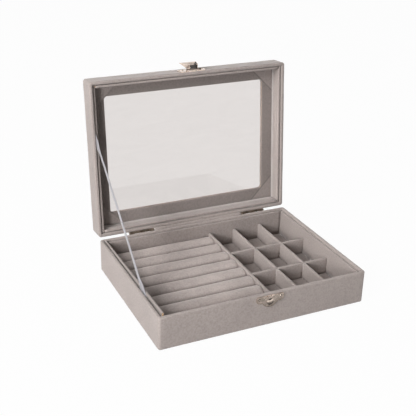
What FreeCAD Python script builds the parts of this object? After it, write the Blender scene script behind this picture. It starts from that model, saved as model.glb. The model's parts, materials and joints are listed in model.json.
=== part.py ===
import FreeCAD, Part
import Sketcher
import math
import os
import re

# A velvet-covered jewelry case with a glass lid, stored open as it is displayed.
# Millimetres, +Z up, +X to the right, +Y to the back. The origin is the middle of the underside.
# Pieces of the lid and of the clasp's flap are placed as on the closed case, then carried to the open pose.

SIZES = [
    ("case_width", 200, "outside of the case, left to right"),
    ("case_depth", 149, "outside of the case, front to back"),
    ("base_height", 31.4, "underside to the rim of the base"),
    ("lid_height", 19.6, "rim to the outer face of the lid"),
    ("rim_gap", 0.5, "between the two rims of the closed case"),
    ("lid_open", 95.5, "degrees that the lid stands open"),
    ("velvet", 0.4, "thickness of the velvet"),
    ("turn_in", 8, "velvet turned over the rims, down the inner face"),
    ("wall_board", 2.4, "thickness of the wall boards"),
    ("board_corner", 2.1, "round of the boards' upright outer edges"),
    ("rim_round", 0.8, "round of the velvet over the rims"),
    ("felt", 0.6, "thickness of the felt on the underside"),
    ("felt_inset", 0.8, "felt's edge in from the outside of the case"),
    ("bottom_board", 2.4, "thickness of the bottom board"),
    ("floor_card", 0.8, "velvet-covered card on the tray's floor"),
    ("stay_slot", 0.5, "slot between wall and liner, which takes the stay ribbon"),
    ("liner_board", 1.6, "thickness of the liner boards"),
    ("liner_drop", 1.8, "liners' top below the rim of the base"),
    ("front_liner_drop", 4.5, "front liner's top below the rim of the base"),
    ("left_liner_rise", 2.6, "left liner's front end above the rim of the base"),
    ("left_liner_sink", 0.2, "left liner's back end below the rim of the base"),
    ("lid_liner_recess", 1.2, "lid liners' edge behind the rim of the lid"),
    ("left_liner_recess", 2.6, "left lid liner's front end behind the rim, clear of the base's left liner"),
    ("tray_play", 0.1, "play of the pieces that stand in the tray"),
    ("divider_height", 16.2, "height of the dividers"),
    ("divider", 2.8, "thickness of the dividers"),
    ("divider_lap", 0.1, "play in the dividers' halved joints"),
    ("roll_height", 15.6, "height of the ring rolls"),
    ("roll_shoulder", 9.2, "height of the ring rolls' straight sides"),
    ("roll_gap", 0.3, "between neighbouring ring rolls"),
    ("roll_end_gap", 0.4, "between the ring rolls' ends and the tray"),
    ("rail_width", 17.5, "outside of the lid to the edge of its window"),
    ("window_round", 3, "round of the window's corners"),
    ("frame_board", 4, "thickness of the window frame"),
    ("glass", 2, "thickness of the glass"),
    ("glass_lap", 6, "glass lying on the frame around the window"),
    ("glass_play", 0.2, "play around the glass"),
    ("lining_card", 0.7, "velvet-covered card that holds the glass"),
    ("corner_patch", 0.3, "thickness of the velvet patches on the lining's corners"),
    ("patch_margin", 0.1, "patches' long edge outside the window's round corner"),
    ("hinge_inset", 39.5, "outside of the case to the middle of a hinge, before their shift"),
    ("hinge_shift", 3.5, "hinges' common middle to the right of the case's middle"),
    ("hinge_width", 26, "length of a hinge's barrel"),
    ("hinge_leaf", 0.6, "thickness of the hinges' leaves"),
    ("leaf_height", 9, "height of a leaf's plate"),
    ("knuckle_radius", 1.0, "outer radius of the hinges' knuckles"),
    ("knuckle_play", 0.15, "between neighbouring knuckles"),
    ("hinge_standoff", 0.05, "between the hinges' barrels and the walls"),
    ("leaf_play", 0.25, "between a leaf's plate and the other leaf's knuckles"),
    ("hinge_pin_radius", 0.45, "radius of the hinges' pins"),
    ("pin_play", 0.05, "radial play of the pins"),
    ("nail_radius", 0.5, "radius of the nails' shanks"),
    ("nail_play", 0.05, "radial play of the nails in metal"),
    ("nail_depth", 2.0, "nails' depth in the walls"),
    ("nail_head_radius", 1.1, "radius of the nails' heads"),
    ("nail_head", 0.6, "height of the nails' domed heads"),
    ("hinge_nail_x", 8.5, "middle of a hinge to its nails"),
    ("cloth_strip", 0.4, "thickness of the cloth strip between the hinges"),
    ("strip_gap", 0.05, "between the cloth strip and the walls"),
    ("strip_leg", 8, "length of the cloth strip on each wall"),
    ("strip_hinge_gap", 0.4, "between the cloth strip and the hinges"),
    ("ribbon_width", 10, "width of the stay ribbon"),
    ("ribbon", 0.3, "thickness of the stay ribbon"),
    ("ribbon_tail", 12, "length of each ribbon end in its slot"),
    ("ribbon_inset", 56.3, "front of the lid to where the ribbon enters its slot"),
    ("ribbon_base_inset", 44.5, "front of the base to where the ribbon enters its slot"),
    ("clasp_x", 2.3, "middle of the clasp"),
    ("clasp_plate", 0.8, "thickness of the clasp's plates"),
    ("catch_width", 27, "width of the catch plate"),
    ("catch_height", 11.2, "height of the catch plate"),
    ("catch_drop", 1.7, "catch plate's top edge below the rim"),
    ("hook_width", 6.6, "width of the catch's hook"),
    ("hook_height", 1.2, "thickness of the catch's hook"),
    ("hook_depth", 2.2, "hook standing out from its plate"),
    ("hook_rise", 0.5, "hook's top above the plate's top edge"),
    ("hook_round", 1.2, "round of the hook's corners"),
    ("eye_radius", 0.7, "radius of the eye through the hook"),
    ("boss_radius", 3.2, "radius of the boss pressed into the catch plate"),
    ("boss_rise", 0.8, "boss standing out from the catch plate"),
    ("boss_drop", 6.2, "middle of the boss below the plate's top edge"),
    ("catch_nail_x", 10.4, "middle of the catch to its nails"),
    ("catch_nail_drop", 2.6, "catch's nails below the plate's top edge"),
    ("latch_width", 27, "width of the latch plate on the lid"),
    ("latch_height", 10.2, "height of the latch plate on the lid"),
    ("latch_rise", 0.9, "latch plate's lower edge above the rim of the lid"),
    ("latch_round", 2.5, "round of the latch plate's corners"),
    ("latch_nail_rise", 8, "latch's nails above the rim of the lid"),
    ("latch_nail_x", 8.4, "middle of the latch to its inner nails"),
    ("latch_nail_step", 3.1, "between neighbouring latch nails"),
    ("flap_pin_rise", 0.9, "flap's pin above the rim of the lid"),
    ("flap_open", 92, "degrees that the flap stands open"),
    ("flap_standoff", 0.2, "between the flap's knuckle and the latch plate"),
    ("flap_barrel_radius", 1.0, "outer radius of the flap's knuckles"),
    ("flap_pin_radius", 0.5, "radius of the flap's pin"),
    ("flap_root", 8.4, "width of the flap at its pin"),
    ("flap_tip", 18, "width of the flap at its tip"),
    ("flap_sheet", 0.6, "thickness of the flap's metal"),
    ("flap_out", 14.5, "flap's pin to its tip, away from the closed case"),
    ("flap_down", 5.1, "flap's pin down to its lower edge on the closed case"),
    ("flap_head_rise", 0.7, "flap's top above its pin"),
    ("flap_wall_gap", 0.7, "between the plates and the flap's cheeks"),
    ("flap_bar", 0.8, "thickness of the bar that snaps under the hook"),
    ("flap_ear", 2.4, "length of each of the latch plate's knuckles"),
    ("flap_ear_play", 0.8, "between the flap's knuckle and the latch plate's"),
    ("overrun", 1, "length by which cutting shapes pass what they cut"),
]

ROLL_COUNT = 8
KNUCKLE_COUNT = 5
# where the main divider stands between left and right liner, the long dividers between main divider and right
# liner, and the cross dividers between front and back liner
MAIN_DIVIDER_SHARE = 0.567
LONG_DIVIDER_SHARES = (0.333, 0.69)
CROSS_DIVIDER_SHARES = (0.35, 0.665)
# stations along a ring roll, with the roll's height and width there
ROLL_STATION_SHARES = (0, 0.012, 0.04, 0.96, 0.988, 1)
ROLL_HEIGHT_SHARES = (0.95, 0.985, 1, 1, 0.985, 0.95)
ROLL_WIDTH_SHARES = (0.985, 0.995, 1, 1, 0.995, 0.985)
ROLL_FOOT_SHARE = 0.95
# outline of the catch plate from its top edge: an ear at each end and a belly between two cusps
CATCH_TOP_SHARE = 0.46
CATCH_EAR_SHARES = (0.5, 0.29)
CATCH_CUSP_SHARES = (0.285, 0.60)

PLACES = [
    ("wall", "2 * velvet + wall_board"),
    ("liner", "2 * velvet + liner_board"),
    ("half_width", "case_width / 2"),
    ("half_depth", "case_depth / 2"),
    ("cover_corner", "board_corner + velvet"),
    ("rim_edge", "min(rim_round; 3 * velvet)"),
    ("core_x", "case_width - 2 * velvet"),
    ("core_y", "case_depth - 2 * velvet"),
    ("channel_x", "core_x - 2 * wall_board"),
    ("channel_y", "core_y - 2 * wall_board"),
    ("opening_x", "case_width - 2 * wall"),
    ("opening_y", "case_depth - 2 * wall"),
    ("felt_x", "case_width - 2 * felt_inset"),
    ("felt_y", "case_depth - 2 * felt_inset"),
    ("slot_x", "half_width - wall - stay_slot"),
    ("slot_y", "half_depth - wall - stay_slot"),
    ("inner_x", "slot_x - liner"),
    ("inner_y", "slot_y - liner"),
    ("main_divider_x", f"(2 * {MAIN_DIVIDER_SHARE} - 1) * inner_x"),
    ("floor_low", "felt + bottom_board"),
    ("floor_top", "floor_low + floor_card"),
    ("lid_low", "base_height + rim_gap"),
    ("lid_top", "lid_low + lid_height"),
    ("frame_low", "lid_top - velvet - frame_board"),
    ("lining_low", "frame_low - lining_card"),
    ("lining_x", "opening_x - 2 * tray_play"),
    ("lining_y", "opening_y - 2 * tray_play"),
    ("window_x", "case_width - 2 * rail_width"),
    ("window_y", "case_depth - 2 * rail_width"),
    ("reveal_x", "window_x + 2 * velvet"),
    ("reveal_y", "window_y + 2 * velvet"),
    ("reveal_round", "window_round + velvet"),
    ("rabbet_x", "window_x + 2 * glass_lap + 2 * glass_play"),
    ("rabbet_y", "window_y + 2 * glass_lap + 2 * glass_play"),
    ("hinge_x", "half_width - hinge_inset"),
    ("hinge_y", "half_depth + hinge_standoff + knuckle_radius"),
    ("hinge_z", "base_height + rim_gap / 2"),
    ("ribbon_reach", "hinge_y + half_depth - ribbon_inset"),
    ("ribbon_low_y", "ribbon_base_inset - half_depth"),
    ("ribbon_high_y", "hinge_y - ribbon_reach * cos(lid_open * 1 deg)"),
    ("ribbon_rise", "ribbon_reach * sin(lid_open * 1 deg)"),
    ("ribbon_back", "ribbon_high_y - ribbon_low_y"),
    ("ribbon_run", "sqrt(ribbon_back ^ 2 + ribbon_rise ^ 2) + 2 * ribbon_tail"),
    ("ribbon_lean", "atan2(ribbon_rise; ribbon_back) / 1 deg"),
    ("head_sphere", "(nail_head_radius ^ 2 + nail_head ^ 2) / (2 * nail_head)"),
    ("flap_y", "0 - half_depth - clasp_plate - flap_standoff - flap_barrel_radius"),
    ("flap_z", "lid_low + flap_pin_rise"),
    ("latch_knuckles", "flap_root + 2 * flap_ear_play + 2 * flap_ear"),
    ("catch_top", "base_height - catch_drop"),
    ("hook_front", "0 - half_depth - clasp_plate - hook_depth"),
    ("hook_corner", "min(hook_round; (hook_depth + clasp_plate) / 2)"),
    ("boss_sphere", "(boss_radius ^ 2 + boss_rise ^ 2) / (2 * boss_rise)"),
]

doc = FreeCAD.newDocument("jewelry_case")
sizes = doc.addObject("Spreadsheet::Sheet", "Sizes")
for row, (alias, number, note) in enumerate(SIZES, start=1):
    sizes.set(f"A{row}", note)
    sizes.set(f"B{row}", str(number))
    sizes.setAlias(f"B{row}", alias)
doc.recompute()

sheet_of = {alias: "Sizes" for alias, number, note in SIZES}
sheet_of.update({alias: "Places" for alias, formula in PLACES})


def bound(text):
    """An expression in which each size is read from its sheet."""
    return re.sub(r"[a-z_]+", lambda word: f"{sheet_of[word[0]]}.{word[0]}" if word[0] in sheet_of else word[0], text)


places = doc.addObject("Spreadsheet::Sheet", "Places")
for row, (alias, formula) in enumerate(PLACES, start=1):
    places.set(f"A{row}", "=" + bound(formula))
    places.setAlias(f"A{row}", alias)
    doc.recompute()


def size(alias):
    """A size or a place as a number."""
    return float(getattr(sizes if sheet_of[alias] == "Sizes" else places, alias))


# Placing

UPRIGHT = "rotation(vector(0; 0; 1); 0)"
ALONG_X = "rotation(vector(0; 1; 0); 90)"
TO_FRONT = "rotation(vector(1; 0; 0); 90)"
TO_BACK = "rotation(vector(1; 0; 0); -90)"
LID_SWING = "placement(vector(0; hinge_y; hinge_z); rotation(vector(1; 0; 0); 0 - lid_open))"
FLAP_SWING = "placement(vector(0; flap_y - hinge_y; flap_z - hinge_z); rotation(vector(1; 0; 0); 0 - flap_open))"
nodes = []


def place(obj, x="0", y="0", z="0", body="base", turn=UPRIGHT):
    """Puts an object where it is on the closed case and carries it to the open pose with its body."""
    if body == "lid":
        text = f"{LID_SWING} * placement(vector({x}; {y} - hinge_y; {z} - hinge_z); {turn})"
    elif body == "flap":
        text = f"{LID_SWING} * {FLAP_SWING} * placement(vector({x}; {y} - flap_y; {z} - flap_z); {turn})"
    else:
        text = f"placement(vector({x}; {y}; {z}); {turn})"
    obj.setExpression("Placement", bound(text))
    return obj


def node(obj, label):
    """Counts an object as a piece of the case, under its own name."""
    obj.Label = label
    nodes.append(obj)
    return obj


def bind(obj, **texts):
    """Ties an object's sizes to the sheets."""
    for name, text in texts.items():
        obj.setExpression(name, bound(text))
    return obj


# Plain shapes

def box(length, width, height, x, y, z, body="base"):
    obj = bind(doc.addObject("Part::Box", "box"), Length=length, Width=width, Height=height)
    return place(obj, x, y, z, body)


def rod(radius, height, x, y, z, turn=UPRIGHT):
    obj = bind(doc.addObject("Part::Cylinder", "rod"), Radius=radius, Height=height)
    return place(obj, x, y, z, "base", turn)


def wedge(thick_low, thick_high, length, front_height, back_height):
    """A strip along Y, from one thickness coordinate to the other, whose top slopes from front to back."""
    obj = doc.addObject("Part::Wedge", "strip")
    bind(obj, Xmin=thick_low, Xmax=thick_high, X2min=thick_low, X2max=thick_high)
    bind(obj, Ymin=f"0 - ({length}) / 2", Ymax=f"({length}) / 2")
    bind(obj, Zmin="0 * velvet", Zmax=front_height, Z2min="0 * velvet", Z2max=back_height)
    return obj


def cut(base, *tools):
    for tool in tools:
        obj = doc.addObject("Part::Cut", "cut")
        obj.Base, obj.Tool = base, tool
        base = obj
    return base


def joined(*shapes):
    obj = doc.addObject("Part::MultiFuse", "joined")
    obj.Shapes = list(shapes)
    obj.Refine = True
    return obj


def group(*shapes):
    obj = doc.addObject("Part::Compound", "group")
    obj.Links = list(shapes)
    return obj


def formed(shape):
    obj = doc.addObject("Part::Feature", "formed")
    obj.Shape = shape
    return obj


# Sketched bodies

def sketch_in(body, z="0 * velvet", plane="XY_Plane"):
    sketch = body.newObject("Sketcher::SketchObject", "outline")
    support = next(part for part in body.Origin.OriginFeatures if part.Role == plane)
    sketch.AttachmentSupport = (support, "")
    sketch.MapMode = "FlatFace"
    return bind(sketch, **{"AttachmentOffset.Base.z": z})


def rectangle(sketch, width, depth, corner=None):
    """Adds a rectangle about the sketch's origin, with round corners where a corner radius is named."""
    x, y = size(width) / 2, size(depth) / 2
    r = size(corner) if corner else 0
    ends = [((x, r - y), (x, y - r)), ((x - r, y), (r - x, y)), ((-x, y - r), (-x, r - y)), ((r - x, -y), (x - r, -y))]
    centres = [(x - r, y - r), (r - x, y - r), (r - x, r - y), (x - r, r - y)]
    up = FreeCAD.Vector(0, 0, 1)
    first = sketch.GeometryCount
    for start, end in ends:
        sketch.addGeometry(Part.LineSegment(FreeCAD.Vector(*start, 0), FreeCAD.Vector(*end, 0)), False)
    side = [first + number for number in range(4)]
    if corner:
        for number, centre in enumerate(centres):
            circle = Part.Circle(FreeCAD.Vector(*centre, 0), up, r)
            turn = math.pi / 2 * number
            sketch.addGeometry(Part.ArcOfCircle(circle, turn, turn + math.pi / 2), False)
        arc = [first + 4 + number for number in range(4)]
        for number in range(4):
            sketch.addConstraint(Sketcher.Constraint("Tangent", side[number], 2, arc[number], 1))
            sketch.addConstraint(Sketcher.Constraint("Tangent", arc[number], 2, side[(number + 1) % 4], 1))
        for number in range(1, 4):
            sketch.addConstraint(Sketcher.Constraint("Equal", arc[0], arc[number]))
        driven = sketch.addConstraint(Sketcher.Constraint("Radius", arc[0], r))
        bind(sketch, **{f"Constraints[{driven}]": corner})
    else:
        for number in range(4):
            sketch.addConstraint(Sketcher.Constraint("Coincident", side[number], 2, side[(number + 1) % 4], 1))
    for number, way in enumerate(("Vertical", "Horizontal", "Vertical", "Horizontal")):
        sketch.addConstraint(Sketcher.Constraint(way, side[number]))
    sketch.addConstraint(Sketcher.Constraint("Symmetric", side[0], 1, side[2], 1, -1, 1))
    driven = sketch.addConstraint(Sketcher.Constraint("DistanceX", side[2], 1, side[0], 1, 2 * x))
    bind(sketch, **{f"Constraints[{driven}]": width})
    driven = sketch.addConstraint(Sketcher.Constraint("DistanceY", side[3], 1, side[1], 1, 2 * y))
    bind(sketch, **{f"Constraints[{driven}]": depth})
    return sketch


def pad(body, sketch, length, down=False):
    obj = body.newObject("PartDesign::Pad", "pad")
    obj.Profile = sketch
    obj.Reversed = down
    bind(obj, Length=length)
    doc.recompute()
    return obj


def pocket(body, sketch, length):
    """Takes material away from the sketch upwards."""
    obj = body.newObject("PartDesign::Pocket", "pocket")
    obj.Profile = sketch
    obj.Reversed = True
    bind(obj, Length=length)
    doc.recompute()
    return obj


def round_edges(body, radius, wanted):
    """Rounds those edges of the body that the test wants."""
    last = body.Tip
    names = [f"Edge{number}" for number, edge in enumerate(last.Shape.Edges, start=1) if wanted(edge)]
    obj = body.newObject("PartDesign::Fillet", "round")
    obj.Base = (last, names)
    bind(obj, Radius=radius)
    doc.recompute()
    return obj


def level(edge, z):
    """Whether an edge lies at a height."""
    return all(math.isclose(point.Z, z, abs_tol=size("velvet") / 100) for point in edge.Vertexes)


def new_body():
    return doc.addObject("PartDesign::Body", "body")


def end_board(label, length, height, y, z, outward, body):
    """A front or back wall board, whose upright outer edges are round."""
    obj = new_body()
    sketch = rectangle(sketch_in(obj), length, "wall_board")
    pad(obj, sketch, height)

    def upright_outside(edge):
        ends = [point.Point for point in edge.Vertexes]
        return ends[0].x == ends[1].x and ends[0].y == ends[1].y and ends[0].y * outward > 0

    round_edges(obj, "min(board_corner; wall_board)", upright_outside)
    return node(place(obj, "0", y, z, body), label)


# Base: underside, walls and cover

underside = new_body()
pad(underside, rectangle(sketch_in(underside), "felt_x", "felt_y", "board_corner"), "felt")
node(place(underside), "underside_felt")

node(box("channel_x", "channel_y", "bottom_board", "0 - channel_x / 2", "0 - channel_y / 2", "felt"), "bottom_board")

board_height = "base_height - velvet - felt"
board_y = "(half_depth - velvet - wall_board / 2)"
end_board("base_front_board", "core_x", board_height, f"0 - {board_y}", "felt", -1, "base")
end_board("base_back_board", "core_x", board_height, board_y, "felt", 1, "base")
for label, x in (("base_left_board", "0 - core_x / 2"), ("base_right_board", "channel_x / 2")):
    node(box("wall_board", "channel_y", board_height, x, "0 - channel_y / 2", "felt"), label)

cover = new_body()
pad(cover, rectangle(sketch_in(cover, "felt"), "case_width", "case_depth", "cover_corner"), "base_height - felt")
hollow = rectangle(sketch_in(cover, "felt"), "core_x", "core_y", "board_corner")
pocket(cover, hollow, "base_height - turn_in - felt")
channel = rectangle(sketch_in(cover, "felt"), "core_x", "core_y", "board_corner")
pocket(cover, rectangle(channel, "channel_x", "channel_y"), "base_height - velvet - felt")
pocket(cover, rectangle(sketch_in(cover, "felt"), "opening_x", "opening_y"), "base_height + overrun")
round_edges(cover, "rim_edge", lambda edge: level(edge, size("base_height")))
node(place(cover), "base_cover")

floor_length = "2 * (inner_x - tray_play)"
floor_width = "2 * (inner_y - tray_play)"
node(box(floor_length, floor_width, "floor_card", "tray_play - inner_x", "tray_play - inner_y", "floor_low"), "tray_floor")


# Liners

def liner(length, front_height, back_height, x, y, z, body, turn):
    """A liner board and the velvet folded over its edge; the first height is at its front end."""
    board = place(wedge("velvet", "velvet + liner_board", length, front_height, back_height), x, y, z, body, turn)
    core = wedge("velvet", "velvet + liner_board", length, front_height, back_height)
    skin = wedge("0 * velvet", "liner", length, f"{front_height} + velvet", f"{back_height} + velvet")
    below = f"{back_height} - turn_in + overrun"
    foot_start = f"0 - ({length}) / 2 - overrun"
    foot = box("velvet + overrun", f"{length} + 2 * overrun", below, "0 - overrun", foot_start, "0 - overrun")
    return board, place(cut(skin, core, foot), x, y, z, body, turn)


side_length = "(opening_y - 2 * tray_play)"
end_length = "2 * (inner_x - tray_play)"
low_height = "(base_height - liner_drop - velvet - floor_low)"
front_liner_height = "(base_height - front_liner_drop - velvet - floor_low)"
left_front_height = "(base_height + left_liner_rise - velvet - floor_low)"
left_back_height = "(base_height - left_liner_sink - velvet - floor_low)"
base_liners = [
    ("left_liner", side_length, left_front_height, left_back_height, "0 - slot_x", "0", UPRIGHT),
    ("right_liner", side_length, low_height, low_height, "slot_x", "0", "rotation(vector(0; 0; 1); 180)"),
    ("front_liner", end_length, front_liner_height, front_liner_height, "0", "0 - slot_y", "rotation(vector(0; 0; 1); 90)"),
    ("back_liner", end_length, low_height, low_height, "0", "slot_y", "rotation(vector(0; 0; 1); -90)"),
]
skins = []
for label, length, front_height, back_height, x, y, turn in base_liners:
    board, skin = liner(length, front_height, back_height, x, y, "floor_low", "base", turn)
    node(board, label)
    skins.append(skin)
node(group(*skins), "liner_velvet")

def lid_liner_height(recess):
    return f"(lining_low - lid_low - {recess} - velvet)"


lid_height_inside = lid_liner_height("lid_liner_recess")
lid_liners = [
    ("lid_left_liner", side_length, lid_liner_height("left_liner_recess"), "0 - slot_x", "0", "rotation(vector(1; 0; 0); 180)"),
    ("lid_right_liner", side_length, lid_height_inside, "slot_x", "0", "rotation(vector(0; 1; 0); 180)"),
    ("lid_front_liner", end_length, lid_height_inside, "0", "0 - slot_y", "rotation(vector(1; 1; 0); 180)"),
    ("lid_back_liner", end_length, lid_height_inside, "0", "slot_y", "rotation(vector(1; -1; 0); 180)"),
]
skins = []
for label, length, far_height, x, y, turn in lid_liners:
    board, skin = liner(length, lid_height_inside, far_height, x, y, "lining_low", "lid", turn)
    node(board, label)
    skins.append(skin)
node(group(*skins), "lid_liner_velvet")


# Dividers, halved together where they cross

long_middles = [f"(main_divider_x + {share} * (inner_x - main_divider_x))" for share in LONG_DIVIDER_SHARES]
cross_middles = [f"((2 * {share} - 1) * inner_y)" for share in CROSS_DIVIDER_SHARES]
lap = "divider + 2 * divider_lap"
half_height = "divider_height / 2"


def long_divider(x):
    return box("divider", floor_width, "divider_height", f"{x} - divider / 2", "tray_play - inner_y", "floor_top")


node(long_divider("main_divider_x"), "main_divider")
for number, x in enumerate(long_middles, start=1):
    notches = [box("divider + 2 * overrun", lap, "divider_height", f"{x} - divider / 2 - overrun",
                   f"{y} - divider / 2 - divider_lap", f"floor_top + {half_height}") for y in cross_middles]
    node(cut(long_divider(x), *notches), f"long_divider_{number}")

cross_start = "(main_divider_x + divider / 2 + tray_play)"
cross_length = f"inner_x - tray_play - {cross_start}"
for number, y in enumerate(cross_middles, start=1):
    strip = box(cross_length, "divider", "divider_height", cross_start, f"{y} - divider / 2", "floor_top")
    notches = [box(lap, "divider + 2 * overrun", f"{half_height} + divider_lap + overrun",
                   f"{x} - divider / 2 - divider_lap", f"{y} - divider / 2 - overrun", "floor_top - overrun")
               for x in long_middles]
    node(cut(strip, *notches), f"cross_divider_{number}")


# Ring rolls: a flat foot, drawn-in sides, an arched crown and soft ends

def roll_section(x, y, width, height):
    shoulder = size("roll_shoulder") / size("roll_height") * height
    foot = width * ROLL_FOOT_SHARE

    def at(across, up):
        return FreeCAD.Vector(x, y + across, size("floor_top") + up)

    left, right = at(-width / 2, shoulder), at(width / 2, shoulder)
    foot_left, foot_right = at(-foot / 2, 0), at(foot / 2, 0)
    crown = Part.Arc(left, at(0, height), right).toShape()
    sides = [Part.makeLine(right, foot_right), Part.makeLine(foot_right, foot_left), Part.makeLine(foot_left, left)]
    return Part.Wire([crown] + sides)


roll_start = size("roll_end_gap") - size("inner_x")
roll_end = size("main_divider_x") - size("divider") / 2 - size("roll_end_gap")
roll_pitch = 2 * size("inner_y") / ROLL_COUNT
for number in range(ROLL_COUNT):
    middle = (2 * number + 1) * roll_pitch / 2 - size("inner_y")
    sections = []
    for station, tall, wide in zip(ROLL_STATION_SHARES, ROLL_HEIGHT_SHARES, ROLL_WIDTH_SHARES):
        x = roll_start + station * (roll_end - roll_start)
        sections.append(roll_section(x, middle, wide * (roll_pitch - size("roll_gap")), tall * size("roll_height")))
    node(formed(Part.makeLoft(sections, True, True)), f"ring_roll_{number + 1}")


# Lid: walls, cover, window

lid_board_height = "frame_low - lid_low - velvet"
end_board("lid_front_board", "core_x", lid_board_height, f"0 - {board_y}", "lid_low + velvet", -1, "lid")
end_board("lid_back_board", "core_x", lid_board_height, board_y, "lid_low + velvet", 1, "lid")
for label, x in (("lid_left_board", "0 - core_x / 2"), ("lid_right_board", "channel_x / 2")):
    node(box("wall_board", "channel_y", lid_board_height, x, "0 - channel_y / 2", "(lid_low + velvet)", "lid"), label)

lid_cover = new_body()
pad(lid_cover, rectangle(sketch_in(lid_cover), "case_width", "case_depth", "cover_corner"), "lid_height")
hollow = rectangle(sketch_in(lid_cover, "turn_in"), "core_x", "core_y", "board_corner")
pocket(lid_cover, hollow, "lid_height - velvet - turn_in")
channel = rectangle(sketch_in(lid_cover, "velvet"), "core_x", "core_y", "board_corner")
pocket(lid_cover, rectangle(channel, "channel_x", "channel_y"), "lid_height - 2 * velvet")
pocket(lid_cover, rectangle(sketch_in(lid_cover), "opening_x", "opening_y"), "lid_height - velvet")
round_edges(lid_cover, "rim_edge", lambda edge: level(edge, 0) or level(edge, size("lid_height")))
window = rectangle(sketch_in(lid_cover), "window_x", "window_y", "window_round")
pocket(lid_cover, window, "lid_height + overrun")
reveal = rectangle(sketch_in(lid_cover, "lid_height - velvet"), "reveal_x", "reveal_y", "reveal_round")
pad(lid_cover, rectangle(reveal, "window_x", "window_y", "window_round"), "frame_board - glass", True)
node(place(lid_cover, z="lid_low", body="lid"), "lid_cover")

frame = new_body()
frame_outline = rectangle(sketch_in(frame), "core_x", "core_y", "board_corner")
pad(frame, rectangle(frame_outline, "reveal_x", "reveal_y", "reveal_round"), "frame_board")
pocket(frame, rectangle(sketch_in(frame), "rabbet_x", "rabbet_y"), "glass")
node(place(frame, z="frame_low", body="lid"), "window_frame")

pane_x, pane_y = "(rabbet_x / 2 - glass_play)", "(rabbet_y / 2 - glass_play)"
node(box(f"2 * {pane_x}", f"2 * {pane_y}", "glass", f"0 - {pane_x}", f"0 - {pane_y}", "frame_low", "lid"), "glass_pane")

lining = new_body()
lining_outline = rectangle(sketch_in(lining), "lining_x", "lining_y")
pad(lining, rectangle(lining_outline, "window_x", "window_y", "window_round"), "lining_card")
node(place(lining, z="lining_low", body="lid"), "window_lining")

# The patches' long edges run at 45 degrees past the window's round corners.
corner_x, corner_y = size("inner_x") - size("tray_play"), size("inner_y") - size("tray_play")
past_round = (2 - math.sqrt(2)) * size("window_round") - math.sqrt(2) * size("patch_margin")
patch_leg = corner_x + corner_y - size("window_x") / 2 - size("window_y") / 2 + past_round
patches = []
for way_x, way_y in ((1, 1), (-1, 1), (-1, -1), (1, -1)):
    corner = (corner_x, corner_y)
    points = [corner, (corner_x - patch_leg, corner_y), (corner_x, corner_y - patch_leg), corner]
    outline = Part.makePolygon([FreeCAD.Vector(way_x * x, way_y * y, 0) for x, y in points])
    patches.append(Part.Face(outline).extrude(FreeCAD.Vector(0, 0, size("corner_patch"))))
node(place(formed(Part.makeCompound(patches)), z="lining_low - corner_patch", body="lid"), "corner_patches")


# Nails

def nail(x, z, plate, back):
    """A nail with a domed head through a plate on the front or back wall."""
    length = f"{plate} + nail_depth + nail_head / 2"
    head = bind(doc.addObject("Part::Sphere", "dome"), Radius="head_sphere", Angle1="asin(1 - nail_head / head_sphere)")
    if back:
        place(head, x, f"half_depth + {plate} + nail_head - head_sphere", z, "base", TO_BACK)
        shank = rod("nail_radius", length, x, "half_depth - nail_depth", z, TO_BACK)
    else:
        place(head, x, f"head_sphere - nail_head - {plate} - half_depth", z, "base", TO_FRONT)
        shank = rod("nail_radius", length, x, "nail_depth - half_depth", z, TO_FRONT)
    return joined(head, shank)


def nail_hole(x, z, plate, back):
    length = f"{plate} + 2 * overrun"
    if back:
        return rod("nail_radius + nail_play", length, x, "half_depth - overrun", z, TO_BACK)
    return rod("nail_radius + nail_play", length, x, "overrun - half_depth", z, TO_FRONT)


# Hinges

def nail_z(way):
    return f"hinge_z + {way} * (knuckle_radius + leaf_play + leaf_height / 2)"


def nail_places(middle):
    return [f"{middle} - hinge_nail_x", f"{middle} + hinge_nail_x"]


def hinge_leaf(middle, way, own):
    """A leaf with its own knuckles; way is 1 for the leaf above the pin and -1 for the one below."""
    start = f"{middle} - hinge_width / 2"
    gap = "(knuckle_radius + leaf_play)"
    low = f"hinge_z + {gap}" if way > 0 else f"hinge_z - {gap} - leaf_height"
    pieces = [box("hinge_width", "hinge_leaf", "leaf_height", start, "half_depth", low)]
    tab_height = f"{gap} + leaf_height / 2"
    tab_low = "hinge_z" if way > 0 else f"hinge_z - ({tab_height})"
    length = f"hinge_width / {KNUCKLE_COUNT} - knuckle_play"
    for number in own:
        x = f"{start} + {number} * hinge_width / {KNUCKLE_COUNT} + knuckle_play / 2"
        pieces.append(box(length, "hinge_leaf", tab_height, x, "half_depth", tab_low))
        pieces.append(rod("knuckle_radius", length, x, "hinge_y", "hinge_z", ALONG_X))
    bore_length = "hinge_width + 2 * overrun"
    bore = rod("hinge_pin_radius + pin_play", bore_length, f"{start} - overrun", "hinge_y", "hinge_z", ALONG_X)
    holes = [nail_hole(x, nail_z(way), "hinge_leaf", True) for x in nail_places(middle)]
    return cut(joined(*pieces), bore, *holes)


base_knuckles = range(0, KNUCKLE_COUNT, 2)
lid_knuckles = range(1, KNUCKLE_COUNT, 2)
base_nails, lid_nails = [], []
for side, middle in (("left", "(hinge_shift - hinge_x)"), ("right", "(hinge_shift + hinge_x)")):
    node(hinge_leaf(middle, -1, base_knuckles), f"{side}_hinge_base_leaf")
    node(place(hinge_leaf(middle, 1, lid_knuckles), body="lid"), f"{side}_hinge_lid_leaf")
    hinge_pin = rod("hinge_pin_radius", "hinge_width", f"{middle} - hinge_width / 2", "hinge_y", "hinge_z", ALONG_X)
    node(hinge_pin, f"{side}_hinge_pin")
    base_nails += [nail(x, nail_z(-1), "hinge_leaf", True) for x in nail_places(middle)]
    lid_nails += [nail(x, nail_z(1), "hinge_leaf", True) for x in nail_places(middle)]
node(group(*base_nails), "hinge_base_nails")
node(place(group(*lid_nails), body="lid"), "hinge_lid_nails")


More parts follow.
